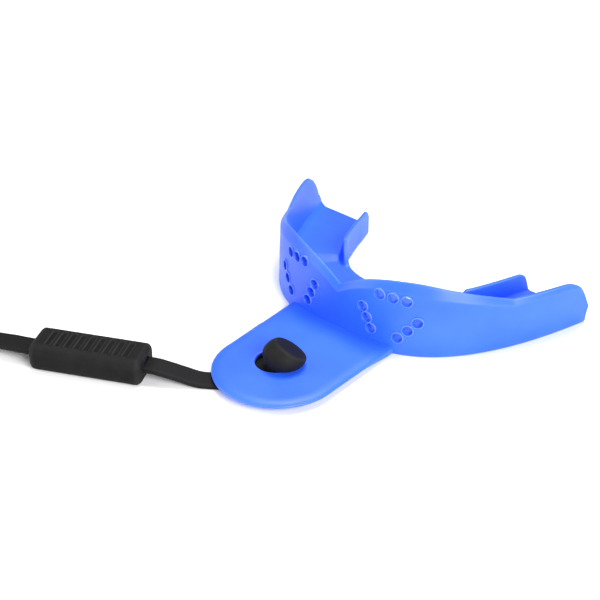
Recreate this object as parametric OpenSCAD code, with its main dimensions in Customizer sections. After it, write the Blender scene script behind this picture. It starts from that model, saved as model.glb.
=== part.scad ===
// Sports mouthguard tray with a front tab, and the breakaway tether that ties it to a helmet.
// Millimetres. Origin: middle of the tray's footprint, on the surface it stands on.
// +Z is up, +Y points to the back of the mouth and -Y along the tab.

/* [Tray] */
// Length of the tray, tab tip to the ends of the arms
guard_len = 68.4; // [66:0.1:72]
// Depth of the arch, front face to the ends of the arms
arch_depth = 36.7; // [35:0.1:38]
// Half width of the arch, outside, at the ends of the arms
arch_half_w = 36; // [34:0.5:38]
// Wall thickness of the outer wall and flanges
wall_t = 1.3; // [1.1:0.1:1.6]
// Thickness of the bite floor under the molars
floor_t = 2.3; // [2:0.1:2.6]
// Thickness of the floor behind the front teeth
front_floor_t = 1.8; // [1.6:0.1:2.2]
// Height of the outer wall in the V notch at the middle
notch_v_h = 11.5; // [10.5:0.1:12.5]
// Height of the two humps of the outer wall
hump_h = 15.8; // [14:0.1:17]
// Height of the outer wall at the side notches
notch_side_h = 11; // [10:0.1:12]
// Height of the tongue-side flanges at the ends of the arms
flange_h = 6; // [4.5:0.1:7]
// Height of the tongue-side flanges at their front ends
flange_front_h = 6.6; // [5:0.1:7]
// Diameter of a perforation
perf_d = 2; // [1.6:0.1:2.4]

/* [Tab] */
// Half width of the tab at its round end
tab_half_w = 12.9; // [12.5:0.1:13.2]
// How far the tab's round end stands to the right of the middle
tab_shift = 0.6; // [0:0.1:1]
// Diameter of the hole that the knob's stem goes through
hole_d = 7.8; // [7.6:0.1:8]
// Height of the tab's top face where it leaves the arch
tab_root_top = 2; // [2:0.1:2.3]
// Height of the tab's top face at its tip
tab_tip_top = 2.4; // [2.4:0.05:2.8]

/* [Tether] */
// Width of the strap
strap_w = 4.8; // [4:0.1:5]
// Thickness of the strap
strap_t = 1; // [0.8:0.1:1]
// Largest diameter of the knob
knob_d = 8.8; // [8.4:0.1:9.2]
// Full height of the knob's head before its ends are cut flat
knob_h = 6.4; // [6:0.1:6.8]
// Length of the release sleeve
sleeve_len = 23.1; // [22.5:0.1:24]
// Width of the release sleeve
sleeve_w = 8.4; // [8:0.1:9]
// Height of the release sleeve
sleeve_h = 5.65; // [5.6:0.05:6]
// Diameter of the pegs inside the sleeve
peg_d = 3.4; // [3:0.1:3.4]
// Outside length of the helmet loop
loop_len = 28; // [24:1:34]
// Outside width of the helmet loop
loop_w = 14; // [13:0.5:16]

/* [Hidden] */
$fn = 64;
BIG = 200;

GUARD_BLUE = [0.22, 0.38, 1];
RUBBER_BLACK = [0.12, 0.12, 0.13];

// ---- Tray: the arch is one band swept from the left arm's end to the right arm's end.
rear_y = guard_len / 2;
tip_y = -guard_len / 2;
front_y = rear_y - arch_depth;
edge_round = 0.5;
// Flat along the top of the wall, and its slope down to the inner face
top_land = 0.35;
land_drop = 0.1;
// How much thicker the wall is at the floor than at its top, and the fillet in that corner
wall_draft = 0.35;
fillet = 0.9;
fillet_share = 0.3;
// Thickness of the flange's top edge, and its rounding
lip_t = 0.8;
lip_round = 0.3;
// Heights on the outer and inner face that get a point of their own, as shares of the face
outer_shares = [0.35, 0.7];
inner_share = 0.6;
SECTIONS_HALF = 26;

// Stations along the right half, front middle to arm end: distance of the outer face from the
// middle, then the tongue-side edge as distance from the middle and from the front face, then
// how far the wall's top leans in, then how deep the bevel along its top is.
STATIONS = [
    [0, 0, 17.7, 0, 1.4],
    [6, 3.8, 17.8, 0.5, 1.5],
    [12, 7.5, 18.1, 1.1, 1.8],
    [17, 10.5, 18.9, 1.2, 2.3],
    [21, 13, 20.2, 0.7, 2.1],
    [25, 14.9, 21.7, 0.2, 1.6],
    [28.5, 16, 23.3, -0.1, 1.3],
    [31.5, 17, 25.7, -0.5, 1.1],
    [33.6, 18.4, 29.6, -0.9, 1.1],
    [35, 19.5, 33.1, -0.9, 0.9],
    [35.85, 20.6, 36.4, -0.6, 0.6]
];
LAST = len(STATIONS) - 1;
// Where the hump, the side notch and the top of the rear wing are, as distances from the middle
hump_x = 15;
side_notch_x = 29.6;
wing_x = 33.1;
wing_h = notch_side_h + 0.2;
wing_drop_h = floor_t + 1.5;
// How sharply the wall falls from the hump into the V notch, and from the wing to the arm's end
notch_power = 2.4;
wing_power = 4;
// The outer face lies arch_round u^3 + arch_corner u^9 behind the front, with u the share of the
// half width
arch_round = 32.8;
arch_corner = 4.5;
// Where the floor steps up to its molar height, and over what distance
floor_step_x = 24.5;
floor_step_run = 3;
// Where the tongue-side edge starts to rise into the flange, and over what distance
flange_from = 19.8;
flange_run = 3;
front_lip_h = 0.15;
// How the wall curves as it leans in
lean_power = 1.5;

// Value of column c at parameter t, 0 at the front middle and LAST at the arm's end, on a
// smooth curve through the stations.
function at(c, t) =
    let (i = min(floor(t), LAST - 1), f = t - i,
        a = i == 0 ? (c < 2 ? -STATIONS[1][c] : STATIONS[1][c]) : STATIONS[i - 1][c],
        b = STATIONS[i][c], d = STATIONS[i + 1][c],
        e = i + 2 > LAST ? 2 * d - b : STATIONS[i + 2][c])
    b + f * (d - a) / 2 + f * f * (a - 2.5 * b + 2 * d - e / 2) + f * f * f * (1.5 * (b - d) + (e - a) / 2);
// How far the outer face lies behind the front at distance x from the middle: a flat front
// that turns into nearly straight arms.
function arch_y(x) = let (u = x / arch_half_w) arch_round * pow(u, 3) + arch_corner * pow(u, 9);
arm_end_y = arch_y(STATIONS[LAST][0]);
function outer(t) = [at(0, t), front_y + arch_y(at(0, t)) * arch_depth / arm_end_y];
function inner(t) = [at(1, t), front_y + at(2, t)];
// Height of the outer wall's top edge.
function wall_top(t) =
    let (x = at(0, t), y = outer(t)[1] - front_y, y_peak = arch_y(wing_x))
    x < hump_x ? hump_h - (hump_h - notch_v_h) * pow(1 - x / hump_x, notch_power)
    : x < side_notch_x
        ? hump_h - (hump_h - notch_side_h) * pow((x - hump_x) / (side_notch_x - hump_x), 2)
    : x < wing_x
        ? notch_side_h + (wing_h - notch_side_h) * (x - side_notch_x) / (wing_x - side_notch_x)
    : wing_h - (wing_h - wing_drop_h)
        * pow(min((y - y_peak) / (arch_depth - y_peak), 1), wing_power);
// Height of the floor, lower behind the front teeth with a short ramp between.
function floor_z(t) =
    let (f = min(max((at(0, t) - floor_step_x) / floor_step_run, 0), 1))
    front_floor_t + (floor_t - front_floor_t) * f;
// Height of the tongue-side edge: a low lip in front that steps up to a flange along the arm.
function flange_z(t) =
    let (y = at(2, t), f = min(max((y - flange_from) / flange_run, 0), 1), low = floor_z(t) + front_lip_h,
        g = min(max((y - flange_from) / (arch_depth - flange_from), 0), 1),
        high = flange_front_h + (flange_h - flange_front_h) * g)
    low + (high - low) * f * f * (3 - 2 * f);
// One cross-section as points [distance in from the outer face, height]: up the outer face,
// over the bevel and the top land, down the inner face, along the floor, over the flange and back.
function profile(t, span) =
    let (top = wall_top(t), lean = at(3, t), bevel = at(4, t), low = top - bevel,
        fz = floor_z(t), lip = flange_z(t), inside = wall_t + wall_draft, r = edge_round)
    [
        [r, 0],
        [0, r],
        for (share = outer_shares) [lean * pow(share, lean_power) * low / top, share * low],
        [lean * low / top, low],
        [lean + wall_t - top_land, top],
        [lean + wall_t, top - land_drop],
        [lean * pow(inner_share, lean_power) + inside - wall_draft * inner_share,
            fz + inner_share * (top - fz)],
        [inside, min(fz + fillet, top - 2 * land_drop)],
        [inside + fillet_share * fillet, fz + fillet_share * fillet],
        [inside + fillet, fz],
        [span - wall_t - lip_round, fz],
        [span - lip_t, lip],
        [span - lip_round, lip],
        [span, lip - lip_round],
        [span, r],
        [span - r, 0]
    ];
RING = len(profile(0, arch_depth));
// The section's points in space. side is 1 on the right and -1 on the left.
function section(t, side) =
    let (o = outer(t), q = inner(t), span = norm(q - o), along = (q - o) / span)
    [for (p = profile(t, span)) [side * (o[0] + along[0] * p[0]), o[1] + along[1] * p[0], p[1]]];
right_rings = [for (k = [0:SECTIONS_HALF]) section(LAST * k / SECTIONS_HALF, 1)];
left_rings = [for (k = [SECTIONS_HALF:-1:1]) section(LAST * k / SECTIONS_HALF, -1)];
rings = concat(left_rings, right_rings);

// Skin of a closed tube through rings of n points each, capped at both ends.
function tube_faces(count, n) =
    concat(
        [for (i = [0:count - 2], j = [0:n - 1])
            let (a = i * n + j, b = i * n + (j + 1) % n, c = a + n, d = b + n) each [[a, b, c], [b, d, c]]],
        [[for (j = [n - 1:-1:0]) j]],
        [[for (j = [0:n - 1]) (count - 1) * n + j]]
    );

module arch() {
    points = [for (ring = rings) each ring];
    polyhedron(points, tube_faces(len(rings), RING), convexity = 8);
}

// Perforations of the right half: distance from the middle along X, and height. Three rows of
// three: one along the hump, one near the middle and one near the tab's root.
PERFORATIONS = [
    [9.7, 12.8], [12.5, 12.5], [15.2, 12.2],
    [6.2, 9.1], [7.2, 6.9], [8.2, 4.7],
    [13.8, 4], [15.6, 5.9], [17.3, 7.8]
];
// Slope of the outer face at distance x from the middle.
function arch_slope(x) =
    let (u = x / arch_half_w)
    (arch_round * 3 * pow(u, 2) + arch_corner * 9 * pow(u, 8)) / arch_half_w;

module perforations() {
    reach = 3; // each way from the outer face
    for (side = [-1, 1], p = PERFORATIONS) {
        turn = atan(arch_slope(p[0]));
        translate([side * p[0], front_y + arch_y(p[0]), p[1]])
            rotate([-90, 0, side * turn])
                translate([0, 0, -reach])
                    cylinder(d = perf_d, h = 2 * reach + 1);
    }
}

tab_end = [tab_shift, tip_y + tab_half_w];
hole_at = [-1, -20.3];
tab_root_half_w = 13.2;
// The sides of the tab run this far behind the arch's front, and its root ends deeper in
tab_side_in = 1.5;
tab_root_in = 4;
tab_root_inset = 3;
tab_under = 1.3;
tab_root_under = 0.3;
// Length over which the underside lifts off the arch's base level
tab_lift_run = 9;

module tab_outline() {
    translate(tab_end)
        circle(r = tab_half_w, $fn = 128);
    polygon([
        tab_end - [tab_half_w, 0],
        tab_end + [tab_half_w, 0],
        [tab_root_half_w, front_y + tab_side_in],
        [tab_root_half_w - tab_root_inset, front_y + tab_root_in],
        [tab_root_inset - tab_root_half_w, front_y + tab_root_in],
        [-tab_root_half_w, front_y + tab_side_in]
    ]);
}

// The tab's side view: it leaves the arch low and lifts clear of the strap.
module tab_side_view() {
    root_end = front_y + tab_root_in;
    polygon([
        [root_end, tab_root_under],
        [front_y, tab_root_under],
        [front_y - tab_lift_run, tab_under],
        [tip_y - 1, tab_under],
        [tip_y - 1, tab_tip_top],
        [front_y, tab_root_top],
        [root_end, front_floor_t - 0.2]
    ]);
}

module stadium(length, width) {
    for (side = [-1, 1])
        translate([side * (length - width) / 2, 0])
            circle(d = width);
    square([length - width, width], center = true);
}

module tab() {
    difference() {
        intersection() {
            linear_extrude(height = BIG)
                tab_outline();
            rotate([90, 0, 90])
                translate([0, 0, -BIG / 2])
                    linear_extrude(height = BIG)
                        tab_side_view();
        }
        translate([hole_at[0], hole_at[1], -1])
            cylinder(d = hole_d, h = BIG);
    }
}

module tray() {
    color(GUARD_BLUE)
        difference() {
            union() {
                arch();
                tab();
            }
            perforations();
        }
}

// ---- Tether: knob and eye, front strap, release sleeve, rear strap, helmet loop.
// The stem rests near the right side of its hole, and the pin below it holds the strap's eye.
stem_at = [0.15, hole_at[1]];
stem_d = 5.2;
stem_h = 3;
stem_gap = 0.3;
eye_d = 12;
pin_d = 2.6;
pin_gap = 0.06;
pin_lift = 0.1;
// The head is an ellipsoid whose middle stands off the stem, cut flat where it meets the tab and
// by a facet that faces up and away from the strap.
head_at = [stem_at[0] + 0.85, stem_at[1] + 0.65, 4.2];
head_gap = 0.05;
facet_tilt = 33;
facet_heading = 61;
facet_reach = 1.8;
HEAD_STEP = 6;

module knob_head() {
    difference() {
        rotate_extrude()
            polygon([for (a = [-90:HEAD_STEP:90]) [knob_d / 2 * cos(a), knob_h / 2 * sin(a)]]);
        rotate([0, facet_tilt, facet_heading])
            translate([-knob_d, -knob_d, facet_reach])
                cube(2 * knob_d);
        translate([-knob_d, -knob_d, tab_tip_top + head_gap - head_at[2] - 2 * knob_d])
            cube(2 * knob_d);
    }
}

module knob() {
    color(RUBBER_BLACK) {
        translate(head_at)
            knob_head();
        translate([stem_at[0], stem_at[1], strap_t + stem_gap])
            cylinder(d = stem_d, h = stem_h);
        translate([stem_at[0], stem_at[1], pin_lift])
            cylinder(d = pin_d, h = stem_h);
    }
}

module strap_eye() {
    color(RUBBER_BLACK)
        translate([stem_at[0], stem_at[1], 0])
            difference() {
                cylinder(d = eye_d, h = strap_t);
                translate([0, 0, -1])
                    cylinder(d = pin_d + 2 * pin_gap, h = strap_t + 2);
            }
}

// Release sleeve: centre, height of the strap in it, and heading of the rear strap.
sleeve_at = [-28.8, -42.95];
sleeve_heading = 205.3;
strap_z = 2.8;
mouth_depth = 2;
plug_len = 8;
anchor_len = 7;

// Route of the front strap's centre line, from the eye to the plug.
FRONT_ROUTE = [
    [-2.4, -25.3, 0.5],
    [-3.2, -27, 0.5],
    [-4.3, -28.6, 0.5],
    [-5.8, -30.1, 0.5],
    [-7.5, -31.5, 0.5],
    [-9.5, -32.95, 0.7],
    [-11.6, -34.3, 1.4],
    [-13.7, -35.6, 2.1],
    [-15.6, -36.7, 2.6],
    [-17, -37.38, 2.8],
    [-18.4, -38.04, 2.8],
    [-19.8, -38.7, 2.8]
];
// Route of the rear strap's centre line, from its anchor to the helmet loop.
REAR_ROUTE = [
    [-37.8, -47.2, 2.8],
    [-39.7, -48.1, 2.8],
    [-41.8, -49, 2.8],
    [-44.4, -49.9, 2.7],
    [-47.2, -50.6, 2.3],
    [-50.6, -51.2, 1.7],
    [-54.2, -51.6, 1.1],
    [-58, -51.9, 0.6],
    [-62, -51.8, 0.5],
    [-66, -51.2, 0.5],
    [-70, -49.9, 0.5],
    [-73.8, -48, 0.5],
    [-77.4, -45.7, 0.5],
    [-81, -43, 0.5],
    [-84.6, -40.2, 0.5],
    [-88.2, -37.4, 0.5],
    [-91.8, -34.6, 0.5],
    [-95.4, -31.8, 0.5],
    [-99, -29, 0.5],
    [-102.6, -26.2, 0.5],
    [-106.2, -23.4, 0.5]
];

// Cross-section of the strap: a flat band with its long edges eased.
edge_ease = 0.3;
STRAP_SECTION = [
    [-strap_w / 2, -strap_t / 2 + edge_ease],
    [-strap_w / 2 + edge_ease, -strap_t / 2],
    [strap_w / 2 - edge_ease, -strap_t / 2],
    [strap_w / 2, -strap_t / 2 + edge_ease],
    [strap_w / 2, strap_t / 2 - edge_ease],
    [strap_w / 2 - edge_ease, strap_t / 2],
    [-strap_w / 2 + edge_ease, strap_t / 2],
    [-strap_w / 2, strap_t / 2 - edge_ease]
];
function unit(v) = v / norm(v);
// Direction of a route at its point i.
function heading(route, i) = unit(route[min(i + 1, len(route) - 1)] - route[max(i - 1, 0)]);
// The section carried along the route, level from side to side.
function strap_ring(route, i) =
    let (d = heading(route, i), side = unit(cross(d, [0, 0, 1])), up = cross(side, d))
    [for (p = STRAP_SECTION) route[i] + side * p[0] + up * p[1]];

module strap(route) {
    points = [for (i = [0:len(route) - 1]) each strap_ring(route, i)];
    n = len(STRAP_SECTION);
    polyhedron(points, [for (f = tube_faces(len(route), n)) [for (k = [len(f) - 1:-1:0]) f[k]]]);
}

module front_strap() {
    color(RUBBER_BLACK)
        strap(FRONT_ROUTE);
}

module rear_strap() {
    color(RUBBER_BLACK)
        strap(REAR_ROUTE);
}

// Places its children in the sleeve's own frame: X towards the rear strap, origin at its middle
// on the strap's centre line.
module in_sleeve() {
    translate([sleeve_at[0], sleeve_at[1], strap_z])
        rotate([0, 0, sleeve_heading])
            children();
}

module rounded_rect(length, width, r) {
    for (x = [-1, 1], y = [-1, 1])
        translate([x * (length / 2 - r), y * (width / 2 - r)])
            circle(r = r);
    square([length - 2 * r, width], center = true);
    square([length, width - 2 * r], center = true);
}

// A round peg along the sleeve's axis, from x0 over a length.
module peg(x0, length, d) {
    translate([x0, 0, 0])
        rotate([0, 90, 0])
            cylinder(d = d, h = length);
}

plug_x = mouth_depth - sleeve_len / 2;
anchor_x = sleeve_len / 2 - mouth_depth - anchor_len;
sleeve_round = 1.4;
// The plug's socket is wider than the plug by twice socket_gap and longer by socket_spare.
socket_gap = 0.05;
socket_spare = 0.5;
mouth_gap = 0.3;

module sleeve_body() {
    intersection() {
        translate([0, 0, -strap_z])
            linear_extrude(height = sleeve_h)
                rounded_rect(sleeve_len, sleeve_w, sleeve_round);
        translate([0, 0, sleeve_h / 2 - strap_z])
            rotate([90, 0, 90])
                translate([0, 0, -sleeve_len])
                    linear_extrude(height = 2 * sleeve_len)
                        rounded_rect(sleeve_w, sleeve_h, sleeve_round);
    }
}

module release_sleeve() {
    mouth = [2 * mouth_depth, strap_w + 2 * mouth_gap, strap_t + 2 * mouth_gap];
    color(RUBBER_BLACK)
        in_sleeve()
            difference() {
                sleeve_body();
                for (end = [-1, 1])
                    translate([end * sleeve_len / 2, 0, 0])
                        cube(mouth, center = true);
                peg(-sleeve_len, sleeve_len + plug_x + plug_len + socket_spare,
                    peg_d + 2 * socket_gap);
                peg(anchor_x, anchor_len + 0.01, peg_d);
            }
}

module release_plug() {
    color(RUBBER_BLACK)
        in_sleeve()
            peg(plug_x, plug_len, peg_d);
}

module rear_anchor() {
    color(RUBBER_BLACK)
        in_sleeve()
            peg(anchor_x, anchor_len, peg_d);
}

loop_t = 2.2;
loop_band = 3;
loop_overlap = 0.8;
loop_heading = 142.1;

module helmet_loop() {
    end = REAR_ROUTE[len(REAR_ROUTE) - 1];
    color(RUBBER_BLACK)
        translate([end[0], end[1], 0])
            rotate([0, 0, loop_heading])
                translate([loop_len / 2 - loop_overlap, 0, 0])
                    difference() {
                        linear_extrude(height = loop_t)
                            stadium(loop_len, loop_w);
                        translate([0, 0, -1])
                            linear_extrude(height = loop_t + 2)
                                stadium(loop_len - 2 * loop_band, loop_w - 2 * loop_band);
                    }
}

tray();
knob();
strap_eye();
front_strap();
release_plug();
release_sleeve();
rear_anchor();
rear_strap();
helmet_loop();
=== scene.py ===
"""The looks of a sports mouthguard tray with a front tab, and of the breakaway tether that ties it
to a helmet. Lengths are millimetres until a mesh, a light or a call of the frame takes them in
metres. +Z is up, +Y points to the back of the mouth, and the tab points along -Y.
"""

import math

import bpy
import numpy as np
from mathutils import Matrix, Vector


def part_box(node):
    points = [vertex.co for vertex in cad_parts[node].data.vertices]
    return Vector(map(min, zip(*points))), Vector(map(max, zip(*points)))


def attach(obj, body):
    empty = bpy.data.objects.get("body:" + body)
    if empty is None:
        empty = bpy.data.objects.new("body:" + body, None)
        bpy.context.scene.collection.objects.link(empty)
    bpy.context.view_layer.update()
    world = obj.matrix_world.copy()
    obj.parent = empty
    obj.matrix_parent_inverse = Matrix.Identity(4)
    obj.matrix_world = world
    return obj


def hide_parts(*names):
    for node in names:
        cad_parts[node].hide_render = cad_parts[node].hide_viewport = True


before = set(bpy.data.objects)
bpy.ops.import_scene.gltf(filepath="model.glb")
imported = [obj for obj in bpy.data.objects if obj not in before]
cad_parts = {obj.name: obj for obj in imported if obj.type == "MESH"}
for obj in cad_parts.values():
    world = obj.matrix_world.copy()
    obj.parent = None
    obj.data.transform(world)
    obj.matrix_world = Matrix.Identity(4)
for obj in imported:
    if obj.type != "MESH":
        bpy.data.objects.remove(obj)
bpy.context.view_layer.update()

MM = 0.001


# ---- Camera and cord come first

CAMERA_AT = (163.7, -204.97, 172.36)
CAMERA_HEADING = 40.585
CAMERA_DROP = 32.254
CAMERA_LENS = 92.4

STRAP_W = 4.8
STRAP_T = 1.0

# Centre line of the front strap, from the eye under the tab to the plug in the sleeve.
FRONT_ROUTE = np.array([
    (-2.4, -25.3, 0.5), (-3.2, -27, 0.5), (-4.3, -28.6, 0.5), (-5.8, -30.1, 0.5), (-7.5, -31.5, 0.5),
    (-9.5, -32.95, 0.7), (-11.6, -34.3, 1.4), (-13.7, -35.6, 2.1), (-15.6, -36.7, 2.6),
    (-17, -37.38, 2.8), (-18.4, -38.04, 2.8), (-19.8, -38.7, 2.8),
])
# Centre line of the rear strap, from its anchor in the sleeve to the helmet loop.
REAR_ROUTE = np.array([
    (-37.8, -47.2, 2.8), (-39.7, -48.1, 2.8), (-41.8, -49, 2.8), (-44.4, -49.9, 2.7),
    (-47.2, -50.6, 2.3), (-50.6, -51.2, 1.7), (-54.2, -51.6, 1.1), (-58, -51.9, 0.6), (-62, -51.8, 0.5),
    (-66, -51.2, 0.5), (-70, -49.9, 0.5), (-73.8, -48, 0.5), (-77.4, -45.7, 0.5), (-81, -43, 0.5),
    (-84.6, -40.2, 0.5), (-88.2, -37.4, 0.5), (-91.8, -34.6, 0.5), (-95.4, -31.8, 0.5),
    (-99, -29, 0.5), (-102.6, -26.2, 0.5), (-106.2, -23.4, 0.5),
])


def make_camera():
    """A long lens, level from side to side, looking down at the tray from the front right."""
    data = bpy.data.cameras.new("camera")
    data.lens = CAMERA_LENS
    data.sensor_width = 36
    camera = bpy.data.objects.new("camera", data)
    camera.location = [v * MM for v in CAMERA_AT]
    camera.rotation_euler = (math.radians(90 - CAMERA_DROP), 0, math.radians(CAMERA_HEADING))
    bpy.context.scene.collection.objects.link(camera)
    bpy.context.scene.camera = camera


# ---- Meshes from arrays

def new_mesh(name, points, faces, uv=None):
    """An object from an array of points in millimetres and a list of face arrays.

    Its faces are turned outwards: the sum of (a x b) . c over its triangles is six times the
    volume, and when that comes out negative every face is reversed.
    """
    points = np.asarray(points, float).reshape(-1, 3)
    groups = [np.asarray(f) for f in faces]
    volume = 0.0
    for group in groups:
        first = points[group[:, 0]]
        for k in range(1, group.shape[1] - 1):
            volume += np.einsum("ij,ij->", np.cross(first, points[group[:, k]]), points[group[:, k + 1]])
    if volume < 0:
        groups = [group[:, ::-1] for group in groups]
    mesh = bpy.data.meshes.new(name)
    mesh.from_pydata(points * MM, [], [row for group in groups for row in group.tolist()])
    if uv is not None:
        corner = np.zeros(len(mesh.loops), np.int32)
        mesh.loops.foreach_get("vertex_index", corner)
        mesh.uv_layers.new(name="along").data.foreach_set("uv", uv[corner].astype(np.float32).ravel())
    mesh.update()
    obj = bpy.data.objects.new(name, mesh)
    bpy.context.scene.collection.objects.link(obj)
    return obj


def strip_quads(rings, around, joined=False):
    """Quads between neighbouring rings of a grid; joined also ties the last ring to the first."""
    i = np.arange(rings if joined else rings - 1)[:, None]
    j = np.arange(around)[None, :]
    i, j = np.broadcast_arrays(i, j)
    ahead = (i + 1) % rings
    beside = (j + 1) % around
    return np.stack([i * around + j, i * around + beside, ahead * around + beside, ahead * around + j],
                    axis=-1).reshape(-1, 4)


def capped_tube(name, grid, uv=None):
    """A closed tube through a grid of rings, with one flat face at each end."""
    rings, around = grid.shape[:2]
    first = np.arange(around)[None, ::-1]
    last = (rings - 1) * around + np.arange(around)[None, :]
    return new_mesh(name, grid, [strip_quads(rings, around), first, last], uv)


def smooth(obj, sharpest=32):
    """Shades a piece smooth, except over edges that turn by more than an angle in degrees."""
    obj.data.shade_smooth()
    obj.data.set_sharp_from_angle(angle=math.radians(sharpest))
    return obj


def combined(obj, joins=(), cuts=()):
    """obj with closed pieces melted into it and others cut out of it, as one plain mesh."""
    for others, operation in ((joins, "UNION"), (cuts, "DIFFERENCE")):
        for other in others:
            step = obj.modifiers.new(other.name, "BOOLEAN")
            step.operation = operation
            step.solver = "MANIFOLD"
            step.object = other
    view = bpy.context.evaluated_depsgraph_get()
    mesh = bpy.data.meshes.new_from_object(obj.evaluated_get(view))
    obj.modifiers.clear()
    obj.data = mesh
    mesh.name = obj.name
    for other in (*joins, *cuts):
        bpy.data.objects.remove(other)
    return obj


def mark_edges(obj, reach):
    """Writes the attribute edge: 0 where the surface is flat or hollow, 1 on its tightest ridges.

    Along each mesh edge the bend is (normal change . step) / step length squared, which is one
    over the radius. A vertex takes the mean over its edges, times reach in millimetres.
    """
    mesh = obj.data
    count = len(mesh.vertices)
    points = np.zeros(count * 3)
    mesh.vertices.foreach_get("co", points)
    normals = np.zeros(count * 3)
    mesh.vertices.foreach_get("normal", normals)
    pairs = np.zeros(len(mesh.edges) * 2, np.int64)
    mesh.edges.foreach_get("vertices", pairs)
    points = points.reshape(-1, 3) / MM
    normals = normals.reshape(-1, 3)
    a, b = pairs.reshape(-1, 2).T
    step = points[b] - points[a]
    bend = np.einsum("ij,ij->i", normals[b] - normals[a], step)
    bend /= np.maximum(np.einsum("ij,ij->i", step, step), 0.004)
    total = np.bincount(a, bend, count) + np.bincount(b, bend, count)
    share = total / np.maximum(np.bincount(a, minlength=count) + np.bincount(b, minlength=count), 1)
    edge = np.clip(share * reach, 0, 1).astype(np.float32)
    mesh.attributes.new("edge", "FLOAT", "POINT").data.foreach_set("value", edge)
    return obj


# ---- Curves and outlines

def ease(x):
    """0 below 0, 1 above 1, and 3x^2 - 2x^3 between."""
    x = np.clip(x, 0, 1)
    return x * x * (3 - 2 * x)


def quarter(steps):
    """Angles of a quarter turn, both ends included."""
    return np.linspace(0, math.pi / 2, steps)


def unit(v):
    return v / np.linalg.norm(v, axis=-1, keepdims=True)


def curve_through(points, per_span):
    """Catmull-Rom curve through points: each span is the cubic whose ends have half the chord
    between the neighbours as their slope."""
    rows = np.vstack([2 * points[0] - points[1], points, 2 * points[-1] - points[-2]])
    t = np.linspace(0, len(points) - 1, (len(points) - 1) * per_span + 1)
    return cubic(rows, t)


def cubic(rows, t):
    """Value at t of the Catmull-Rom curve whose rows have one extra at each end."""
    i = np.clip(np.floor(t).astype(int), 0, len(rows) - 4)
    f = (t - i)[:, None]
    a, b, c, d = (rows[i + k] for k in range(4))
    return (b + f * (c - a) / 2 + f ** 2 * (a - 2.5 * b + 2 * c - d / 2)
            + f ** 3 * (1.5 * (b - c) + (d - a) / 2))


def eased_polygon(corners, radii, fills, steps=5):
    """Closed outlines, one for each row of corners, with eased corners and filled sides.

    corners is (rows, corners, 2). Each corner becomes the curve (1-u)^2 A + 2u(1-u) P + u^2 B
    from A to B, the points its radius away along its two sides, and the side after it gets
    fills extra points.
    """
    back = np.roll(corners, 1, axis=1) - corners
    fore = np.roll(corners, -1, axis=1) - corners
    back_len = np.linalg.norm(back, axis=-1)
    fore_len = np.linalg.norm(fore, axis=-1)
    reach = np.minimum(radii, 0.45 * np.minimum(back_len, fore_len))[..., None]
    start = corners + back / np.maximum(back_len, 1e-6)[..., None] * reach
    end = corners + fore / np.maximum(fore_len, 1e-6)[..., None] * reach
    u = np.linspace(0, 1, steps)[:, None]
    outline = []
    for k, fill in enumerate(fills):
        a, p, b = start[:, k, None], corners[:, k, None], end[:, k, None]
        outline.append((1 - u) ** 2 * a + 2 * u * (1 - u) * p + u ** 2 * b)
        nearer = start[:, (k + 1) % len(fills), None]
        v = np.linspace(0, 1, fill + 2)[1:-1, None]
        outline.append(b + (nearer - b) * v)
    return np.concatenate(outline, axis=1)


def rounded_rect(width, height, radius, arc=7, across=10, up=6):
    """Outline of a rectangle with quarter-circle corners, anticlockwise from its right side."""
    turn = np.linspace(0, math.pi / 2, arc)
    w, h = width / 2 - radius, height / 2 - radius
    parts = []
    for k, (sx, sy) in enumerate(((1, 1), (-1, 1), (-1, -1), (1, -1))):
        angle = turn + k * math.pi / 2
        parts.append(np.stack([sx * w + radius * np.cos(angle), sy * h + radius * np.sin(angle)], -1))
    filled = []
    for k, part in enumerate(parts):
        filled.append(part)
        v = np.linspace(0, 1, (across if k % 2 == 0 else up) + 2)[1:-1, None]
        after = parts[(k + 1) % 4][0]
        filled.append(part[-1] + (after - part[-1]) * v)
    return np.concatenate(filled)


def turned(name, outline, steps=72):
    """A closed solid of revolution about Z: outline is (radius, height) from pole to pole, and
    ring k is the circle of that radius at that height. The two poles are single points."""
    outline = np.asarray(outline, float)
    angle = np.linspace(0, 2 * math.pi, steps, endpoint=False)
    rings = outline[1:-1]
    grid = np.stack([rings[:, :1] * np.cos(angle), rings[:, :1] * np.sin(angle),
                     np.broadcast_to(rings[:, 1:], (len(rings), steps))], axis=-1)
    count = len(rings) * steps
    points = np.vstack([grid.reshape(-1, 3), [(0, 0, outline[0, 1]), (0, 0, outline[-1, 1])]])
    ring = np.arange(steps)
    low = np.stack([np.full(steps, count), (ring + 1) % steps, ring], axis=-1)
    high = np.stack([np.full(steps, count + 1), count - steps + ring,
                     count - steps + (ring + 1) % steps], axis=-1)
    return new_mesh(name, points, [strip_quads(len(rings), steps), low, high])


# ---- Tray

TRAY_LOW, TRAY_HIGH = (np.array(corner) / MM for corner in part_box("tray"))
REAR_Y = TRAY_HIGH[1]
TIP_Y = TRAY_LOW[1]
ARCH_DEPTH = 36.7
FRONT_Y = REAR_Y - ARCH_DEPTH
ARCH_HALF_W = 36.0
WALL_T = 1.3
FLOOR_T = 2.3
FRONT_FLOOR_T = 1.8
NOTCH_V_H = 11.5
HUMP_H = 15.8
NOTCH_SIDE_H = 11.0
WING_H = 11.2
WING_DROP_H = 3.8
FLANGE_H = 6.0
FLANGE_FRONT_H = 6.6
FLANGE_FROM = 19.8
FLANGE_RUN = 3
HUMP_X = 15.0
SIDE_NOTCH_X = 29.6
WING_X = 33.1
NOTCH_POWER = 2.4
WING_POWER = 4
ARCH_ROUND = 32.8
ARCH_CORNER = 4.5
FLOOR_STEP_X = 24.5
FLOOR_STEP_RUN = 3
FRONT_LIP_H = 0.15
END_ROUND = 0.3
END_INSET = 0.13
FLANGE_CORNER = 1.3

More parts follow.
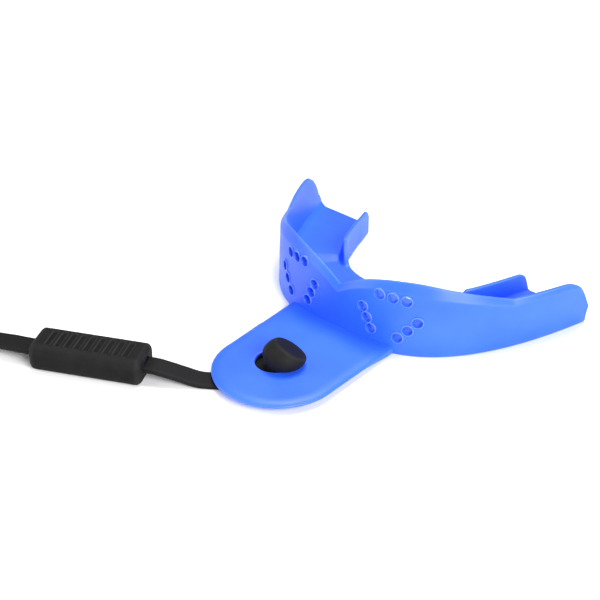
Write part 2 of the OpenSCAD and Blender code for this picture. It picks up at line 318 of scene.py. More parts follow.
# Stations along the right half, front middle to arm end: distance of the outer face from the
# middle, the tongue-side edge as distance from the middle and from the front, how far the
# wall's top leans in, and how deep the bevel along its top is.
STATIONS = np.array([
    (0, 0, 17.7, 0, 1.4), (6, 3.8, 17.8, 0.5, 1.5), (12, 7.5, 18.1, 1.1, 1.8), (17, 10.5, 18.9, 1.2, 2.3),
    (21, 13, 20.2, 0.7, 2.1), (25, 14.9, 21.7, 0.2, 1.6), (28.5, 16, 23.3, -0.1, 1.3),
    (31.5, 17, 25.7, -0.5, 1.1), (33.6, 18.4, 29.6, -0.9, 1.1), (35, 19.5, 33.1, -0.9, 0.9),
    (35.85, 20.6, 36.4, -0.6, 0.6),
])
STATION_ROWS = np.vstack([STATIONS[1] * (-1, -1, 1, 1, 1), STATIONS, 2 * STATIONS[-1] - STATIONS[-2]])


def arch_curve(x):
    """How far the outer face lies behind the front: ARCH_ROUND u^3 + ARCH_CORNER u^9, u the share
    of the half width, stretched so that the last station is at the arms' ends."""
    def bare(x):
        u = x / ARCH_HALF_W
        return ARCH_ROUND * u ** 3 + ARCH_CORNER * u ** 9
    return bare(x) * ARCH_DEPTH / bare(STATIONS[-1, 0])


def arch_slope(x):
    step = 0.01
    return (arch_curve(x + step) - arch_curve(x - step)) / (2 * step)


def wall_height(x):
    """Height of the outer wall's top: a V in the middle, a hump, a side notch and a wing that
    drops in a power curve to the arm's end."""
    hump = HUMP_H - (HUMP_H - NOTCH_V_H) * np.clip(1 - x / HUMP_X, 0, 1) ** NOTCH_POWER
    fall = np.clip((x - HUMP_X) / (SIDE_NOTCH_X - HUMP_X), 0, 1)
    hump = hump - (HUMP_H - NOTCH_SIDE_H) * fall ** 2
    rise = np.clip((x - SIDE_NOTCH_X) / (WING_X - SIDE_NOTCH_X), 0, 1)
    peak = arch_curve(WING_X)
    drop = np.clip((arch_curve(x) - peak) / (ARCH_DEPTH - peak), 0, 1) ** WING_POWER
    return hump + (WING_H - NOTCH_SIDE_H) * rise - (WING_H - WING_DROP_H) * drop


def arch_sections(t):
    """Cross-sections of the arch at parameters t from 0, the front middle, to the arm's end.

    A section is an eased polygon of (distance in from the outer face, height): up the outer
    face, over the bevel and the top land, down the inner face, a chamfer, the bite floor, the
    tongue-side flange and back along the base. It leans in by lean (height / top)^1.5.
    """
    x, inner_x, inner_y, lean, bevel = cubic(STATION_ROWS, t).T
    back = arch_curve(x)
    outer = np.stack([x, FRONT_Y + back], -1)
    inner = np.stack([inner_x, FRONT_Y + inner_y], -1)
    span = np.linalg.norm(inner - outer, axis=-1)
    along = (inner - outer) / span[:, None]
    top = wall_height(x)
    floor = FRONT_FLOOR_T + (FLOOR_T - FRONT_FLOOR_T) * np.clip((x - FLOOR_STEP_X) / FLOOR_STEP_RUN, 0, 1)
    lip = floor + FRONT_LIP_H
    rearward = np.clip((inner_y - FLANGE_FROM) / (ARCH_DEPTH - FLANGE_FROM), 0, 1)
    flange = FLANGE_FRONT_H + (FLANGE_H - FLANGE_FRONT_H) * rearward
    lip = lip + (flange - lip) * ease((inner_y - FLANGE_FROM) / FLANGE_RUN)
    past = np.clip((inner_y - (inner_y[-1] - FLANGE_CORNER)) / FLANGE_CORNER, 0, 1)
    lip = lip - FLANGE_CORNER * (1 - np.sqrt(1 - past ** 2))
    low = top - bevel
    inside = WALL_T + 0.35
    chamfer = np.minimum(0.9, (top - floor) / 3)
    zero = np.zeros_like(x)
    land = 0.35 + 0.5 * ease((x - 28) / 4)
    corners = np.stack([
        np.stack([zero, zero], -1),
        np.stack([zero, low], -1),
        np.stack([WALL_T - land, top], -1),
        np.stack([zero + WALL_T, top - 0.08], -1),
        np.stack([zero + inside, floor + chamfer], -1),
        np.stack([inside + chamfer, floor], -1),
        np.stack([span - WALL_T - 0.3, floor], -1),
        np.stack([span - 0.85, lip], -1),
        np.stack([span, lip], -1),
        np.stack([span, zero], -1),
    ], axis=1)
    radii = np.array([0.5, 0.2, 0.12, 0.12, 0.2, 0.2, 0.5, 0.25, 0.3, 0.5])
    fills = (14, 3, 0, 11, 2, 16, 5, 5, 4, 16)
    outline = eased_polygon(corners, radii, fills)
    inward, height = outline[..., 0], outline[..., 1]
    share = np.clip(height / top[:, None], 0, 1) ** 1.5
    inward = inward + lean[:, None] * share * ease(1 - (inward - WALL_T) / 4)
    flat = outer[:, None] + along[:, None] * inward[..., None]
    return np.concatenate([flat, height[..., None]], axis=-1)


def arch():
    """The sections carried round the arch from the left arm's end to the right one's, with eased
    ends: four last rings creep on along Y by r sin a and inwards by i (1 - cos a). Inwards is
    square to the outline within the section's own upright plane."""
    t_all = np.linspace(0, len(STATIONS) - 1, 2001)
    y_all = arch_curve(cubic(STATION_ROWS, t_all)[:, 0])
    t_end = np.interp(ARCH_DEPTH - END_ROUND, y_all, t_all)
    t = t_end * np.sin(np.linspace(0, math.pi / 2, 141))
    right = arch_sections(t)
    last = right[-1]
    tangent = unit(np.roll(last, -1, axis=0) - np.roll(last, 1, axis=0))
    widest = last[np.argmin(last[:, 0])] - last[np.argmax(last[:, 0])]
    across = unit(widest * (1, 1, 0))
    inwards = across * tangent[:, 2:] - np.array((0, 0, 1)) * (tangent @ across)[:, None]
    turn = quarter(5)[1:, None, None]
    ends = last + END_ROUND * np.sin(turn) * (0, 1, 0) + END_INSET * (1 - np.cos(turn)) * inwards
    right = np.concatenate([right, ends])
    left = right[:0:-1] * (-1, 1, 1)
    return capped_tube("mouthguard_tray", np.concatenate([left, right]))


# Perforations of the right half: distance from the middle, and height.
PERFORATIONS = np.array([
    (9.7, 12.8), (12.5, 12.5), (15.2, 12.2),
    (6.2, 9.1), (7.2, 6.9), (8.2, 4.7),
    (13.8, 4), (15.6, 5.9), (17.3, 7.8),
])
PERF_R = 1.0


def on_outer_face(name, outline):
    """A turned shape repeated at every perforation, its axis along the outer face's normal and
    its height 0 on that face."""
    pattern = turned("pattern", outline, steps=32)
    base = np.zeros(len(pattern.data.vertices) * 3)
    pattern.data.vertices.foreach_get("co", base)
    base = base.reshape(-1, 3) / MM
    quads = np.array([face.vertices for face in pattern.data.polygons if len(face.vertices) == 4])
    threes = np.array([face.vertices for face in pattern.data.polygons if len(face.vertices) == 3])
    bpy.data.objects.remove(pattern)
    x, z = PERFORATIONS.T
    t_all = np.linspace(0, len(STATIONS) - 1, 2001)
    rows = cubic(STATION_ROWS, np.interp(x, cubic(STATION_ROWS, t_all)[:, 0], t_all))
    lean = rows[:, 3] * (z / wall_height(x)) ** 1.5
    out = unit(np.stack([arch_slope(x), -np.ones_like(x), np.zeros_like(x)], -1))
    at = np.stack([x, FRONT_Y + arch_curve(x), z], -1) - out * lean[:, None]
    side = np.cross((0, 0, 1), out)
    frames = np.stack([side, np.broadcast_to((0.0, 0.0, 1.0), side.shape), out], axis=1)
    right = at[:, None] + base @ frames
    both = np.concatenate([right, right * (-1, 1, 1)])
    start = len(base) * np.arange(len(x))[:, None, None]
    groups = []
    for group in (quads, threes):
        right_side = (group + start).reshape(-1, group.shape[1])
        groups += [right_side, right_side[:, ::-1] + len(base) * len(x)]
    return new_mesh(name, both, groups)


def perforation_rims():
    """A low raised lip round each perforation: half a rounded bead standing 0.16 off the face."""
    turn = np.linspace(0, math.pi, 7)
    bead = np.stack([1.16 + 0.16 * np.cos(turn[::-1]), 0.16 * np.sin(turn)], -1)
    return on_outer_face("rims", [(0, -0.5), (1.32, -0.5), *bead[::-1], (0.6, -0.1), (0, -0.1)])


def perforation_bores():
    """Round cutters with a small flare at the outer and inner mouths."""
    return on_outer_face("bores", [
        (0, -3), (PERF_R + 0.3, -3), (PERF_R, -1.75), (PERF_R - 0.02, -1.2), (PERF_R - 0.02, -0.2),
        (PERF_R + 0.03, 0), (PERF_R + 0.1, 0.14), (PERF_R + 0.1, 1), (0, 1),
    ])


TAB_R = 12.9
TAB_END = np.array((0.6, TIP_Y + TAB_R))
TAB_ROOT_HALF_W = 13.2
TAB_SUNK = 0.8
TAB_UNDER = 1.3
TAB_ROOT_UNDER = 0.3
TAB_LIFT_RUN = 9.0
TAB_ROOT_TOP = 2.0
TAB_TIP_TOP = 2.4
HOLE_AT = np.array((-1, -20.3))
HOLE_R = 3.9


def tab_outline():
    """Outer edge of the tab, anticlockwise from its left side: a half circle round the tip, the
    right side, the root along the middle of the arch's wall, and the left side."""
    angle = np.linspace(math.pi, 2 * math.pi, 97)
    tip = TAB_END + TAB_R * np.stack([np.cos(angle), np.sin(angle)], -1)
    corner = np.array((TAB_ROOT_HALF_W, FRONT_Y + arch_curve(TAB_ROOT_HALF_W) + TAB_SUNK))
    v = np.linspace(0, 1, 44)[1:, None]
    right = tip[-1] + (corner - tip[-1]) * v
    x = np.linspace(TAB_ROOT_HALF_W, -TAB_ROOT_HALF_W, 61)[1:-1]
    root = np.stack([x, FRONT_Y + arch_curve(np.abs(x)) + TAB_SUNK], -1)
    left = (corner * (-1, 1) + (tip[0] - corner * (-1, 1)) * v)[:-1]
    return np.concatenate([tip, right, root, corner[None] * (-1, 1), left])


def tab_edge_distance(flat):
    """Distance in from the tab's free edge: R - |p - c| round the tip, and the smaller of the
    distances to the two straight sides behind it."""
    past = flat - TAB_END
    round_tip = TAB_R - np.linalg.norm(past, axis=-1)
    corner_y = FRONT_Y + arch_curve(TAB_ROOT_HALF_W) + TAB_SUNK
    share = np.clip(past[..., 1] / (corner_y - TAB_END[1]), 0, 1)
    right = TAB_END[0] + TAB_R + (TAB_ROOT_HALF_W - TAB_END[0] - TAB_R) * share
    left = TAB_END[0] - TAB_R + (TAB_R - TAB_END[0] - TAB_ROOT_HALF_W) * share
    sides = np.minimum(flat[..., 0] - left, right - flat[..., 0])
    return np.maximum(np.where(past[..., 1] < 0, round_tip, sides), 0)


def left_normals(loop):
    """Unit normals of a closed flat outline, to the left of its direction."""
    along = unit(np.roll(loop, -1, axis=0) - np.roll(loop, 1, axis=0))
    return np.stack([-along[:, 1], along[:, 0]], -1)


def tab():
    """A plate with a round hole, as a closed band of rings whose points lie on rays from the
    hole's middle: up the hole's wall and over its eased rim, out along the top, down the edge
    and back along the underside.

    The top is a straight line in Y, less a soft fall D (1 - sqrt(1 - (1 - d / W)^2)) within W
    of the free edge, with d the distance in from that edge.
    """
    outer = tab_outline()
    ray = unit(outer - HOLE_AT)
    hole = HOLE_AT + HOLE_R * ray
    soft_in, soft_down, rim, foot = 2.2, 0.75, 0.32, 0.28

    def top(flat):
        height = TAB_ROOT_TOP + (TAB_TIP_TOP - TAB_ROOT_TOP) * (FRONT_Y - flat[:, 1]) / (FRONT_Y - TIP_Y)
        near = np.clip(1 - tab_edge_distance(flat) / soft_in, 0, 1)
        return height - soft_down * (1 - np.sqrt(1 - near ** 2))

    def under(flat):
        lifted = np.clip((FRONT_Y - flat[:, 1]) / TAB_LIFT_RUN, 0, 1)
        return TAB_ROOT_UNDER + (TAB_UNDER - TAB_ROOT_UNDER) * lifted

    def ring(edge, out, height, drop=0.0):
        flat = edge + ray * out
        return np.column_stack([flat, height(flat) + drop])

    def across(a, b, height, count):
        shares = np.linspace(0, 1, count + 2)[1:-1]
        flats = [a[:, :2] + (b[:, :2] - a[:, :2]) * share for share in shares]
        return [np.column_stack([flat, height(flat)]) for flat in flats]

    rings = [ring(hole, rim * (1 - math.cos(a)), top, rim * (math.sin(a) - 1)) for a in quarter(6)]
    soft = [ring(outer, -soft_in * 1.15 * (1 - math.sin(a)), top) for a in quarter(14)]
    rings += across(rings[-1], soft[0], top, 12) + soft
    feet = [ring(outer, -foot * (1 - math.cos(a)), under, foot * (1 - math.sin(a))) for a in quarter(4)]
    mouth = [ring(hole, foot * (1 - math.sin(a)), under, foot * (1 - math.cos(a))) for a in quarter(4)]
    rings += feet + across(feet[-1], mouth[0], under, 10) + mouth
    grid = np.stack(rings)
    return new_mesh("tab", grid, [strip_quads(*grid.shape[:2], joined=True)])


def make_tray():
    tray = combined(arch(), joins=[tab(), perforation_rims()], cuts=[perforation_bores()])
    return mark_edges(smooth(tray), 0.25)


# ---- Tether

STEM_AT = np.array((0.15, HOLE_AT[1], 0))
STEM_R = 2.6
PIN_R = 1.3
EYE_R = 6.0
HEAD_AT = STEM_AT + (0.85, 0.65, 4.2)
HEAD_R = 4.4
HEAD_HALF_H = 3.2
HEAD_REST = 2.5
# Flat faces of the head: tilt from upright, heading, and distance from the head's middle
HEAD_FACES = ((33, 61, 1.8), (128, 222, 3.3))
SLEEVE_LEN, SLEEVE_W, SLEEVE_H = 23.1, 8.4, 5.65
SLEEVE_AT = np.array((-28.8, -42.95, 2.8))
SLEEVE_HEADING = math.radians(205.3)
PEG_R = 1.7
MOUTH_DEPTH = 2.0
# How far inside the sleeve's face the plug's collar ends
COLLAR_IN = 0.3


def moved(obj, shift, heading=0.0, lean=0.0):
    """Places a mesh for good: leans it about Y, turns it about Z and shifts it."""
    mesh = obj.data
    points = np.zeros(len(mesh.vertices) * 3)
    mesh.vertices.foreach_get("co", points)
    cl, sl, ch, sh = math.cos(lean), math.sin(lean), math.cos(heading), math.sin(heading)
    tilt = np.array(((cl, 0, sl), (0, 1, 0), (-sl, 0, cl)))
    turn = np.array(((ch, -sh, 0), (sh, ch, 0), (0, 0, 1)))
    points = points.reshape(-1, 3) @ (turn @ tilt).T + np.asarray(shift, float) * MM
    mesh.vertices.foreach_set("co", points.ravel())
    mesh.update()
    return obj


def knob_head():
    """A squat rubber head with a slanting facet and an undercut side.

    Seen from its middle, the reach in each direction is the smooth minimum -k log(sum e^(-r/k))
    of the reach to an ellipsoid, 1 / sqrt(c^2 / a^2 + s^2 / b^2), and to each flat face,
    distance / cosine. The underside is pressed flat on the tab: a height h above it becomes
    k log(1 + e^(h/k)), which eases the lower edge.
    """
    rise = np.linspace(-math.pi / 2, math.pi / 2, 97)[:, None]
    round_it = np.linspace(0, 2 * math.pi, 144, endpoint=False)[None]
    way = np.stack(np.broadcast_arrays(np.cos(rise) * np.cos(round_it), np.cos(rise) * np.sin(round_it),
                                       np.sin(rise)), -1)
    sideways = (way[..., 0] ** 2 + way[..., 1] ** 2) / HEAD_R ** 2
    reach = [1 / np.sqrt(sideways + (way[..., 2] / HEAD_HALF_H) ** 2)]
    for tilt, heading, distance in HEAD_FACES:
        t, h = math.radians(tilt), math.radians(heading)
        cosine = way @ (math.sin(t) * math.cos(h), math.sin(t) * math.sin(h), math.cos(t))
        reach.append(distance / np.maximum(cosine, 0.05))
    ease_k, press_k = 0.22, 0.16
    reach = -ease_k * np.log(np.sum(np.exp(-np.stack(reach) / ease_k), axis=0))
    points = HEAD_AT + way * reach[..., None]
    points[..., 2] = HEAD_REST + press_k * np.logaddexp(0, (points[..., 2] - HEAD_REST) / press_k)
    steps = round_it.shape[1]
    body = points[1:-1]
    count = body.shape[0] * steps
    ring = np.arange(steps)
    low = np.stack([np.full(steps, count), (ring + 1) % steps, ring], axis=-1)
    last = count - steps
    high = np.stack([np.full(steps, count + 1), last + ring, last + (ring + 1) % steps], -1)
    return new_mesh("tether_knob", np.vstack([body.reshape(-1, 3), points[0, 0], points[-1, 0]]),
                    [strip_quads(body.shape[0], steps), low, high])


def make_knob():
    """Head, stem through the tab's hole and pin through the strap's eye, melted into one."""
    stem = turned("stem", [(0, 1.3), (STEM_R - 0.25, 1.3), (STEM_R - 0.06, 1.36), (STEM_R, 1.55),
                           (STEM_R, 3.6), (0, 3.6)])
    pin = turned("pin", [(0, 0.1), (PIN_R - 0.2, 0.1), (PIN_R, 0.3), (PIN_R, 2), (0, 2)], steps=48)
    for part in (stem, pin):
        moved(part, STEM_AT)
    return mark_edges(smooth(combined(knob_head(), joins=[stem, pin]), 50), 0.5)


def make_eye():
    """The round pad at the strap's end: an eased rectangle carried round the pin."""
    bore = PIN_R + 0.06
    corners = np.array([[(bore, 0), (EYE_R, 0), (EYE_R, STRAP_T), (bore, STRAP_T)]])
    outline = eased_polygon(corners, np.full(4, 0.28), (9, 1, 9, 1))[0]
    angle = np.linspace(0, 2 * math.pi, 96, endpoint=False)[:, None]
    grid = np.stack([STEM_AT[0] + outline[:, 0] * np.cos(angle), STEM_AT[1] + outline[:, 0] * np.sin(angle),
                     np.broadcast_to(outline[:, 1], (96, len(outline)))], axis=-1)
    eye = new_mesh("strap_pad", grid, [strip_quads(*grid.shape[:2], joined=True)])
    return mark_edges(smooth(eye), 0.3)


def strap(name, route):
    """A flat band along a route: an eased rectangle in the plane across the route, level from
    side to side. Its UV runs along the route and round the section, both in millimetres."""
    line = curve_through(route, 6)
    along = unit(np.gradient(line, axis=0))
    side = unit(np.cross(along, (0, 0, 1)))
    up = np.cross(side, along)
    section = rounded_rect(STRAP_W, STRAP_T, 0.36, arc=5, across=12, up=2)
    grid = line[:, None] + side[:, None] * section[:, :1] + up[:, None] * section[:, 1:]
    run = np.concatenate([[0], np.cumsum(np.linalg.norm(np.diff(line, axis=0), axis=1))])
    round_it = np.concatenate([[0], np.cumsum(np.linalg.norm(np.diff(section, axis=0), axis=1))])
    uv = np.stack(np.broadcast_arrays(run[:, None], round_it[None]), -1).reshape(-1, 2)
    band = capped_tube(name, grid, uv)
    return mark_edges(smooth(band), 0.3), line


def opening_outline(angle, socket_too):
    """The sleeve's mouth seen from its middle: the strap's flat gap, or at each angle the wider
    of that gap and the plug's round socket."""
    half_w, half_h = STRAP_W / 2 + 0.09, STRAP_T / 2 + 0.09
    reach = np.minimum(half_w / np.maximum(np.abs(np.cos(angle)), 1e-9),
                       half_h / np.maximum(np.abs(np.sin(angle)), 1e-9))
    if socket_too:
        reach = np.maximum(reach, PEG_R + 0.05)
    return np.stack([reach * np.cos(angle), reach * np.sin(angle)], -1)


def make_sleeve():
    """A block with round edges, carried along its axis as rings of an eased rectangle. At each
    end the rings draw in over a quarter turn, cross the end face to the mouth and run 2 deep
    into it; the plug's socket goes on from there. Grip ribs are pressed into the top face as
    short cross grooves, depth times a rounded comb along the axis."""
    half, radius, end_r = SLEEVE_LEN / 2, 1.4, 1.15
    a = quarter(8)
    ends = np.stack([half - end_r * (1 - np.sin(a)), end_r * (1 - np.cos(a))], -1)
    run = np.linspace(-half + end_r, half - end_r, 220)[1:-1]
    x = np.concatenate([-ends[::-1, 0], run, ends[:, 0]])
    inset = np.concatenate([ends[::-1, 1], 0 * run, ends[:, 1]])
    body = []
    for at, drawn in zip(x, inset):
        ring = rounded_rect(SLEEVE_W - 2 * drawn, SLEEVE_H - 2 * drawn, radius - 0.55 * drawn,
                            across=26, up=8)
        body.append(np.column_stack([np.full(len(ring), at), ring]))
    body = np.stack(body)
    pitch, comb, groove = 2.0, 9.0, 0.36
    ripple = ease((np.abs(((body[..., 0] / pitch) % 1) - 0.5) - 0.22) / 0.14)
    window = ease((comb - np.abs(body[..., 0])) / 0.5) * ease((2.5 - np.abs(body[..., 1])) / 0.45)
    window *= body[..., 2] > SLEEVE_H / 2 - 0.3
    body[..., 2] -= groove * ripple * window
    angle = np.arctan2(body[0, :, 2], body[0, :, 1])
    socket = (PEG_R + 0.05) * np.stack([np.cos(angle), np.sin(angle)], -1)

    def disc(at, outline, scale=1.0):
        return np.column_stack([np.full(len(outline), at), outline * scale])

    def end_rings(side, face, deep):
        hole = opening_outline(angle, side < 0)
        rings = [face + (disc(side * half, hole) - face) * v for v in (0.4, 0.8, 0.93)]
        rings += [disc(side * (half - 0.06), hole, 1.02), disc(side * (half - 0.2), hole)]
        rings += [disc(side * (half - MOUTH_DEPTH), hole), disc(side * (half - MOUTH_DEPTH - 0.01), socket)]
        rings += [disc(side * (half - MOUTH_DEPTH - deep), socket)]
        return rings

    front = end_rings(-1, body[0], 8.5)
    rear = end_rings(1, body[-1], 7.0)
    sleeve = capped_tube("sleeve_shell", np.stack([*front[::-1], *body, *rear]))
    moved(sleeve, SLEEVE_AT, SLEEVE_HEADING)
    return mark_edges(smooth(sleeve, 40), 0.55)


def make_peg(name, x0, length):
    """A round peg along the sleeve's axis with eased ends and two low retaining beads."""
    z = np.linspace(0.35, length - 0.35, 60)
    beads = 0.05 * (np.exp(-((z - 0.3 * length) / 0.35) ** 2) + np.exp(-((z - 0.7 * length) / 0.35) ** 2))
    r = PEG_R - 0.05 + beads
    a = quarter(6)
    start = np.stack([r[0] - 0.35 * (1 - np.sin(a)), 0.35 * (1 - np.cos(a))], -1)
    end = np.stack([r[-1] - 0.35 * (1 - np.cos(a)), length - 0.35 * (1 - np.sin(a))], -1)
    outline = np.vstack([(0, 0), start, np.stack([r, z], -1), end[1:], (0, length)])
    peg = turned(name, outline, steps=64)
    moved(peg, (x0, 0, 0), 0, math.pi / 2)
    moved(peg, SLEEVE_AT, SLEEVE_HEADING)
    return mark_edges(smooth(peg), 0.4)


LOOP_LEN = 28.0
LOOP_W = 14.0
LOOP_BAND = 3.0
LOOP_T = 2.2
LOOP_HEADING = math.radians(142.1)
LOOP_OVERLAP = 0.8
LOOP_COLLAR_W = 6.4


def make_loop():
    """The helmet loop: an eased rectangle carried round a stadium, with a short collar that
    takes the strap's end."""
    flat, r = (LOOP_LEN - LOOP_W) / 2, (LOOP_W - LOOP_BAND) / 2
    turn = np.linspace(-math.pi / 2, math.pi / 2, 41)
    end = np.stack([flat + r * np.cos(turn), r * np.sin(turn)], -1)
    v = np.linspace(1, -1, 18)[1:-1, None]
    line = np.concatenate([end, np.concatenate([flat * v, r + 0 * v], -1), -end,
                           np.concatenate([-flat * v, -r + 0 * v], -1)])
    out = -left_normals(line)
    section = rounded_rect(LOOP_BAND, LOOP_T, 0.75, arc=6, across=4, up=3)
    flat_xy = line[:, None] + out[:, None] * section[:, :1]
    height = np.broadcast_to(section[:, 1] + LOOP_T / 2, flat_xy.shape[:2])
    grid = np.concatenate([flat_xy, height[..., None]], -1)
    loop = new_mesh("helmet_loop_ring", grid, [strip_quads(*grid.shape[:2], joined=True)])
    a = quarter(6)
    reach, soft = 3.4, 0.6
    ends = np.stack([reach - soft * (1 - np.sin(a)), soft * (1 - np.cos(a))], -1)
    x = np.concatenate([-ends[::-1, 0], ends[:, 0]])
    inset = np.concatenate([ends[::-1, 1], ends[:, 1]])
    rings = []
    for at, drawn in zip(x, inset):
        ring = rounded_rect(LOOP_COLLAR_W - 2 * drawn, LOOP_T - 2 * drawn, 0.8 - 0.6 * drawn)
        rings.append(np.column_stack([np.full(len(ring), at), ring[:, 0], ring[:, 1] + LOOP_T / 2]))
    collar = capped_tube("collar", np.stack(rings))
    moved(collar, (-LOOP_LEN / 2 - 0.6, 0, 0))
    combined(loop, joins=[collar])
    heading = np.array((math.cos(LOOP_HEADING), math.sin(LOOP_HEADING), 0))
    middle = REAR_ROUTE[-1] * (1, 1, 0) + heading * (LOOP_LEN / 2 - LOOP_OVERLAP)
    moved(loop, middle, LOOP_HEADING)
    return mark_edges(smooth(loop), 0.5)


# ---- Finishes

class Value:
    """A number that varies over a surface. It wraps a socket, and sums, differences, products,
    quotients and powers of values add their Math nodes."""

    def __init__(self, finish, socket):
        self.finish = finish
        self.socket = socket

    def _math(self, operation, a, b):
        return self.finish.node("ShaderNodeMath", {"operation": operation}, {0: a, 1: b})

    def __add__(self, other):
        return self._math("ADD", self, other)

    __radd__ = __add__

    def __sub__(self, other):
        return self._math("SUBTRACT", self, other)

    def __rsub__(self, other):
        return self._math("SUBTRACT", other, self)

    def __mul__(self, other):
        return self._math("MULTIPLY", self, other)

    __rmul__ = __mul__

    def __truediv__(self, other):
        return self._math("DIVIDE", self, other)

    def __pow__(self, other):
        return self._math("POWER", self, other)


class Finish:
    """A material under construction, with one method that adds any node."""

    def __init__(self, name):
        self.material = bpy.data.materials.new(name)
        self.material.use_nodes = True
        self.tree = self.material.node_tree
        self.tree.nodes.clear()

    def node(self, kind, settings=None, inputs=None, output=0):
        """Adds a node: its settings first, a ramp's stops among them, then the value or link of
        each named socket. Returns one of its outputs, wrapped."""
        new = self.tree.nodes.new(kind)
        for key, value in (settings or {}).items():
            if key == "stops":
                ramp = new.color_ramp
                while len(ramp.elements) < len(value):
                    ramp.elements.new(0.5)
                for element, (place, colour) in zip(ramp.elements, value):
                    element.position = place
                    element.color = colour
            else:
                setattr(new, key, value)
        for key, value in (inputs or {}).items():
            if isinstance(value, Value):
                self.tree.links.new(value.socket, new.inputs[key])
            else:
                new.inputs[key].default_value = value
        return None if output is None else Value(self, new.outputs[output])

    def place(self):
        return self.node("ShaderNodeTexCoord", output="Object")

    def noise(self, scale, detail=2.0, roughness=0.5, at=None):
        """Noise from 0 to 1, its scale in features a millimetre."""
        return self.node("ShaderNodeTexNoise", None, {
            "Vector": at or self.place(), "Scale": scale / MM, "Detail": detail, "Roughness": roughness})

    def band(self, value, low, high):
        """0 where the value is low, 1 where it is high, with a soft step between."""
        return self.node("ShaderNodeMapRange", {"interpolation_type": "SMOOTHSTEP"}, {
            "Value": value, "From Min": low, "From Max": high})

    def blend(self, share, low, high):
        """Colour from low to high by a share."""
        return self.node("ShaderNodeMix", {"data_type": "RGBA"}, {
            "Factor": share, 6: low, 7: high}, output=2)

    def attribute(self, name):
        return self.node("ShaderNodeAttribute", {"attribute_name": name}, output="Fac")

    def bump(self, height, strength, depth):
        """A bump from a height of 0 to 1, whose full depth is in millimetres."""
        return self.node("ShaderNodeBump", None, {
            "Height": height, "Strength": strength, "Distance": depth * MM}, output="Normal")

    def surface(self, inputs):
        shader = self.node("ShaderNodeBsdfPrincipled", None, inputs)
        self.node("ShaderNodeOutputMaterial", None, {"Surface": shader}, output=None)
        return self.material


def guard_plastic():
    """Satin moulded copolymer: a deep blue with faint flow clouds, ridges and rims blended paler as a
    painted highlight, a fine pebble and light scattered just under the skin."""
    f = Finish("guard_plastic")
    clouds = f.noise(0.06, detail=3)
    pebble = f.noise(3.2, detail=2)
    streaks = f.noise(0.5, detail=4, roughness=0.65)
    edge = f.attribute("edge")
    colour = f.blend(f.band(clouds, 0.35, 0.65), (0.014, 0.102, 0.84, 1), (0.022, 0.122, 0.92, 1))
    # Painted highlight: the edge attribute blends ridges and rims towards a pale blue, in place of light
    # catching them and shining through the thin plastic.
    colour = f.blend(edge * 0.4, colour, (0.22, 0.38, 0.95, 1))
    rough = 0.43 + streaks * 0.1 - edge * 0.06
    height = pebble * 0.7 + streaks * 0.3
    return f.surface({
        "Base Color": colour, "Roughness": rough, "IOR": 1.5,
        "Subsurface Weight": 0.12, "Subsurface Radius": (0.3, 0.5, 1.0), "Subsurface Scale": 1.2 * MM,
        "Normal": f.bump(height, 0.25, 0.03),
    })


def tether_rubber():
    """Matte moulded rubber: near-black, chalky on its ridges, with a fine sandy grain."""
    f = Finish("tether_rubber")
    grain = f.noise(5.0, detail=3, roughness=0.7)
    bloom = f.noise(0.35, detail=5, roughness=0.6)
    edge = f.attribute("edge")
    colour = f.blend(f.band(bloom, 0.3, 0.7), (0.0045, 0.0045, 0.0047, 1), (0.0075, 0.0075, 0.0078, 1))
    colour = f.blend(edge * (0.4 + bloom * 0.4), colour, (0.035, 0.035, 0.035, 1))
    rough = 0.62 + grain * 0.16 - edge * 0.08
    return f.surface({
        "Base Color": colour, "Roughness": rough, "IOR": 1.5, "Specular IOR Level": 0.14,
        "Normal": f.bump(grain, 0.5, 0.04),
    })


def strap_rubber():
    """Extruded flat strap: black, with faint drawing lines along its length and a painted sheen that
    lightens its edges.
    """
    f = Finish("strap_rubber")
    along = f.node("ShaderNodeUVMap", {"uv_map": "along"}, output="UV")
    stretched = f.node("ShaderNodeMapping", None, {"Vector": along, "Scale": (0.06, 5.0, 1.0)})
    lines = f.node("ShaderNodeTexNoise", None, {"Vector": stretched, "Scale": 1.0, "Detail": 3.0})
    grain = f.noise(4.0, detail=2)
    edge = f.attribute("edge")
    colour = f.blend(f.band(lines, 0.3, 0.7), (0.003, 0.003, 0.0033, 1), (0.0055, 0.0055, 0.006, 1))
    # Painted sheen: the edge attribute blends the strap's edges lighter, in place of light glancing off
    # them.
    colour = f.blend(edge * 0.4, colour, (0.016, 0.016, 0.017, 1))
    rough = 0.5 + lines * 0.16
    return f.surface({
        "Base Color": colour, "Roughness": rough, "Specular IOR Level": 0.16,
        "Normal": f.bump(lines * 0.7 + grain * 0.3, 0.4, 0.05),
    })


def floor_paint():
    """Plain pale studio floor, with the faintest mottling."""
    f = Finish("studio_floor")
    mottle = f.noise(0.02, detail=2)
    colour = f.blend(mottle, (0.93, 0.93, 0.93, 1), (0.95, 0.95, 0.95, 1))
    return f.surface({"Base Color": colour, "Roughness": 0.75, "Specular IOR Level": 0.2})


# ---- Studio

def area_light(name, at, aim, size, watts):
    """A square soft light at a place, in millimetres, facing a point."""
    data = bpy.data.lights.new(name, "AREA")
    data.shape = "SQUARE"
    data.size = size * MM
    data.energy = watts
    light = bpy.data.objects.new(name, data)
    way = np.array(aim, float) - np.array(at, float)
    flat = math.hypot(way[0], way[1])
    light.rotation_euler = (math.atan2(flat, -way[2]), 0, math.atan2(-way[0], way[1]))
    light.location = [v * MM for v in at]
    bpy.context.scene.collection.objects.link(light)


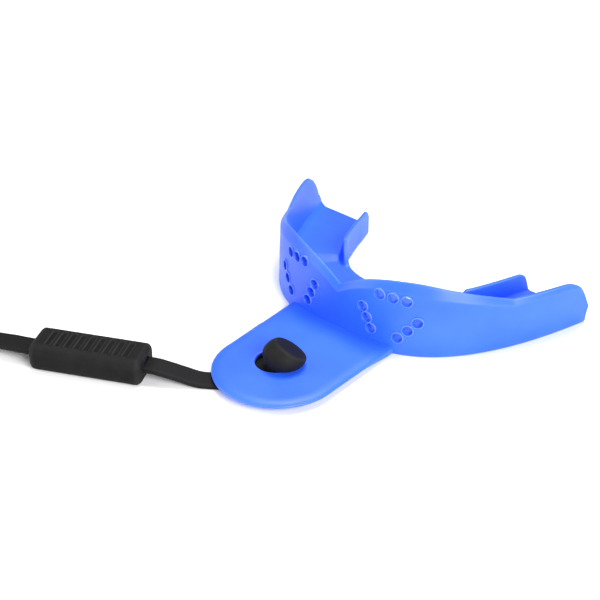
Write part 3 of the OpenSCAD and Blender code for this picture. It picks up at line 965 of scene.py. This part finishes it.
def make_studio():
    """A wide pale floor, an even white surround and three soft lights."""
    half = 2500.0
    corners = np.array([(-half, -half, 0), (half, -half, 0), (half, half, 0), (-half, half, 0)])
    floor = new_mesh("studio_floor", corners, [np.array([(0, 1, 2, 3)])])
    floor.data.materials.append(floor_paint())
    scene = bpy.context.scene
    scene.view_settings.view_transform = "Standard"
    world = bpy.data.worlds.new("studio")
    world.use_nodes = True
    world.node_tree.nodes["Background"].inputs["Color"].default_value = (1, 1, 1, 1)
    world.node_tree.nodes["Background"].inputs["Strength"].default_value = 0.3
    scene.world = world
    area_light("overhead", (-60, 150, 460), (0, 0, 0), 220, 2.3)
    area_light("front_right", (430, -160, 250), (0, 0, 5), 280, 3.8)
    area_light("front_left", (-330, -330, 240), (0, 0, 5), 300, 1.3)


# ---- Assembly

make_camera()
make_studio()

rear_strap, rear_line = strap("rear_strap_band", REAR_ROUTE)
front_strap, front_line = strap("front_strap_band", FRONT_ROUTE)
tray = make_tray()
knob = make_knob()
eye = make_eye()
sleeve = make_sleeve()
plug = make_peg("plug_peg", COLLAR_IN - SLEEVE_LEN / 2, MOUTH_DEPTH - COLLAR_IN + 8)
anchor = make_peg("anchor_peg", SLEEVE_LEN / 2 - MOUTH_DEPTH - 7, 7)
loop = make_loop()

guard, rubber, strapping = guard_plastic(), tether_rubber(), strap_rubber()
for piece, body, node, slot, finish in (
    (tray, "guard", "tray", "guard_plastic", guard),
    (knob, "knob", "knob", "tether_rubber", rubber),
    (eye, "front_tether", "strap_eye", "tether_rubber", rubber),
    (front_strap, "front_tether", "front_strap", "strap_rubber", strapping),
    (plug, "front_tether", "release_plug", "tether_rubber", rubber),
    (sleeve, "rear_tether", "release_sleeve", "tether_rubber", rubber),
    (anchor, "rear_tether", "rear_anchor", "tether_rubber", rubber),
    (rear_strap, "rear_tether", "rear_strap", "strap_rubber", strapping),
    (loop, "rear_tether", "helmet_loop", "tether_rubber", rubber),
):
    piece.data.materials.clear()
    piece.data.materials.append(finish)
    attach(piece, body)
    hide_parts(node)

rear_line * MM
